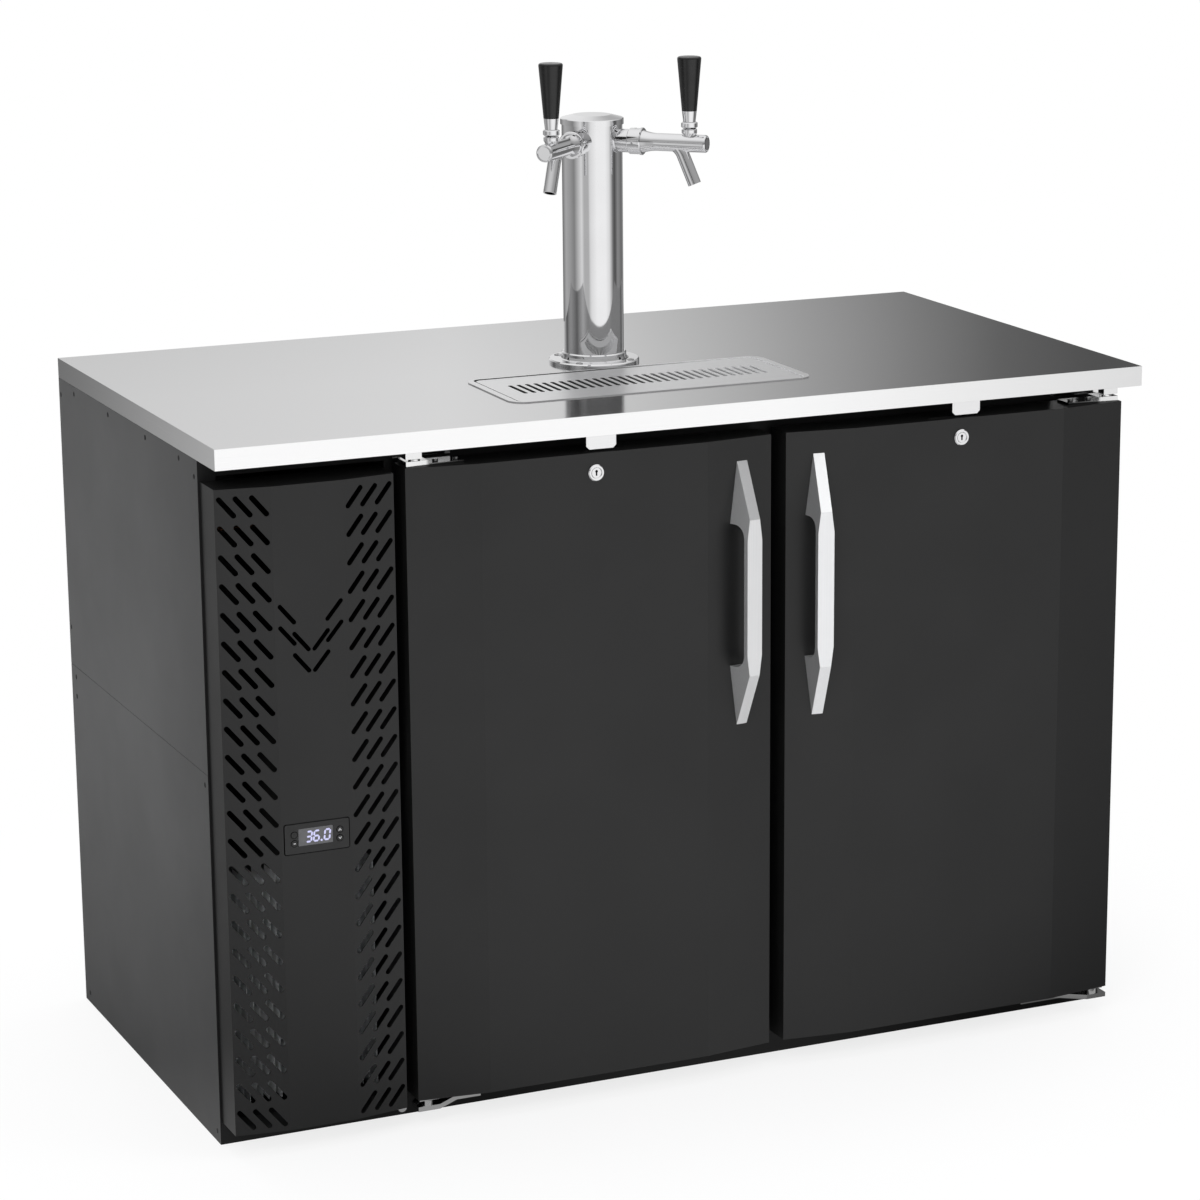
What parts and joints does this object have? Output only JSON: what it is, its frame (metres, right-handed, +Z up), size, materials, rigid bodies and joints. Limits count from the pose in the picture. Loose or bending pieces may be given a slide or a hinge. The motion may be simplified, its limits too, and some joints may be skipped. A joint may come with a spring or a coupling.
{
  "type": "draft beer cooler",
  "caption": "Black direct-draw keg cooler with stainless worktop, two faceted doors, vented side bay, drip tray and a chrome two-tap tower.",
  "frame": {"origin": "middle of the worktop's plan, on the floor", "axes": "+X to the viewer's right, +Y to the back, +Z up; the doors face -Y"},
  "size_m": [1.22, 0.6642, 1.2528],
  "materials": {
    "black_paint": "satin",
    "dark_frame": "satin",
    "stainless": "satin",
    "chrome_plate": "polished",
    "zinc_steel": "satin",
    "cast_handle": "satin",
    "black_plastic": "satin",
    "gloss_black": "gloss",
    "display": "gloss",
    "black_rubber": "matte",
    "coil_aluminium": "satin",
    "copper_tube": "satin"
  },
  "bodies": {
    "cabinet": {"base_pan": "dark_frame", "side_panel_upper": "black_paint", "side_panel_lower": "black_paint", "side_panel_right": "black_paint", "back_panel": "black_paint", "insulated_body": "dark_frame", "chamber_liner": "stainless", "worktop": "stainless", "drip_tray": "stainless", "tower_flange": "chrome_plate", "tower_column": "chrome_plate", "tower_cap": "chrome_plate", "faucet_shanks": "chrome_plate", "coupling_nuts": "chrome_plate", "faucet_body_left": "chrome_plate", "faucet_body_right": "chrome_plate", "grille_panel": "black_paint", "controller_bezel": "black_plastic", "controller_screen": "display", "hinge_brackets_top": "zinc_steel", "hinge_brackets_bottom": "zinc_steel", "strike_tabs": "zinc_steel", "screws": "zinc_steel", "cord_gland": "black_plastic", "compressor": "black_paint", "compressor_mounts": "black_rubber", "condenser": "coil_aluminium", "fan_shroud": "black_plastic", "condenser_fan_motor": "black_plastic", "refrigerant_lines": "copper_tube", "evaporator": "coil_aluminium", "evaporator_cover": "stainless", "evaporator_fan_motor": "black_plastic"},
    "door_left": {"door_skin_left": "black_paint", "door_core_left": "stainless", "door_gasket_left": "black_rubber", "door_handle_left": "cast_handle", "lock_barrel_left": "chrome_plate", "hinge_leaves_left": "zinc_steel"},
    "door_right": {"door_skin_right": "black_paint", "door_core_right": "stainless", "door_gasket_right": "black_rubber", "door_handle_right": "cast_handle", "lock_barrel_right": "chrome_plate", "hinge_leaves_right": "zinc_steel"},
    "lock_left": {"lock_plug_left": "chrome_plate"},
    "lock_right": {"lock_plug_right": "chrome_plate"},
    "tap_left": {"tap_lever_left": "chrome_plate", "tap_knob_left": "gloss_black"},
    "tap_right": {"tap_lever_right": "chrome_plate", "tap_knob_right": "gloss_black"},
    "valve_left": {"valve_shaft_left": "zinc_steel"},
    "valve_right": {"valve_shaft_right": "zinc_steel"},
    "grate": {"drip_grate": "stainless"},
    "fan_condenser": {"condenser_fan": "black_plastic"},
    "fan_evaporator": {"evaporator_fan": "black_plastic"},
    "key_power": {"button_power": "black_plastic"},
    "key_set": {"button_set": "black_plastic"},
    "key_up": {"button_up": "black_plastic"},
    "key_down": {"button_down": "black_plastic"}
  },
  "joints": [
    {"name": "door_left_hinge", "type": "hinge", "parent": "cabinet", "child": "door_left", "pos_m": [-0.3594, -0.292, 0.426], "axis": [0, 0, -1], "range_deg": [0, 100]},
    {"name": "door_right_hinge", "type": "hinge", "parent": "cabinet", "child": "door_right", "pos_m": [0.5748, -0.292, 0.426], "axis": [0, 0, 1], "range_deg": [0, 100]},
    {"name": "lock_left_turn", "type": "hinge", "parent": "door_left", "child": "lock_left", "pos_m": [-0.13885, -0.315, 0.794], "axis": [0, -1, 0], "range_deg": [0, 90]},
    {"name": "lock_right_turn", "type": "hinge", "parent": "door_right", "child": "lock_right", "pos_m": [0.35425, -0.315, 0.794], "axis": [0, 1, 0], "range_deg": [0, 90]},
    {"name": "tap_left_pull", "type": "hinge", "parent": "cabinet", "child": "tap_left", "pos_m": [-0.09272, -0.08054, 1.155], "axis": [0.6947, -0.7193, 0], "range_deg": [0, 30]},
    {"name": "tap_right_pull", "type": "hinge", "parent": "cabinet", "child": "tap_right", "pos_m": [0.09272, -0.08054, 1.155], "axis": [0.6947, 0.7193, 0], "range_deg": [0, 30]},
    {"name": "valve_left_slide", "type": "slide", "parent": "cabinet", "child": "valve_left", "axis": [0.7193, 0.6947, 0], "range_m": [0, 0.0053]},
    {"name": "valve_right_slide", "type": "slide", "parent": "cabinet", "child": "valve_right", "axis": [-0.7193, 0.6947, 0], "range_m": [0, 0.0053]},
    {"name": "grate_lift", "type": "slide", "parent": "cabinet", "child": "grate", "axis": [0, 0, 1], "range_m": [0, 0.06]},
    {"name": "condenser_fan_spin", "type": "hinge", "parent": "cabinet", "child": "fan_condenser", "pos_m": [-0.4956, -0.158, 0.186], "axis": [0, 1, 0], "continuous": true},
    {"name": "evaporator_fan_spin", "type": "hinge", "parent": "cabinet", "child": "fan_evaporator", "pos_m": [-0.262, 0.1673, 0.692], "axis": [1, 0, 0], "continuous": true},
    {"name": "key_power_press", "type": "slide", "parent": "cabinet", "child": "key_power", "axis": [0, 1, 0], "range_m": [0, 0.0006], "stiffness_N_per_m": 400},
    {"name": "key_set_press", "type": "slide", "parent": "cabinet", "child": "key_set", "axis": [0, 1, 0], "range_m": [0, 0.0006], "stiffness_N_per_m": 400},
    {"name": "key_up_press", "type": "slide", "parent": "cabinet", "child": "key_up", "axis": [0, 1, 0], "range_m": [0, 0.0006], "stiffness_N_per_m": 400},
    {"name": "key_down_press", "type": "slide", "parent": "cabinet", "child": "key_down", "axis": [0, 1, 0], "range_m": [0, 0.0006], "stiffness_N_per_m": 400}
  ],
  "couplings": [
    {"joint": "valve_left_slide", "follows": "tap_left_pull", "m_per_rad": 0.01},
    {"joint": "valve_right_slide", "follows": "tap_right_pull", "m_per_rad": 0.01}
  ]
}
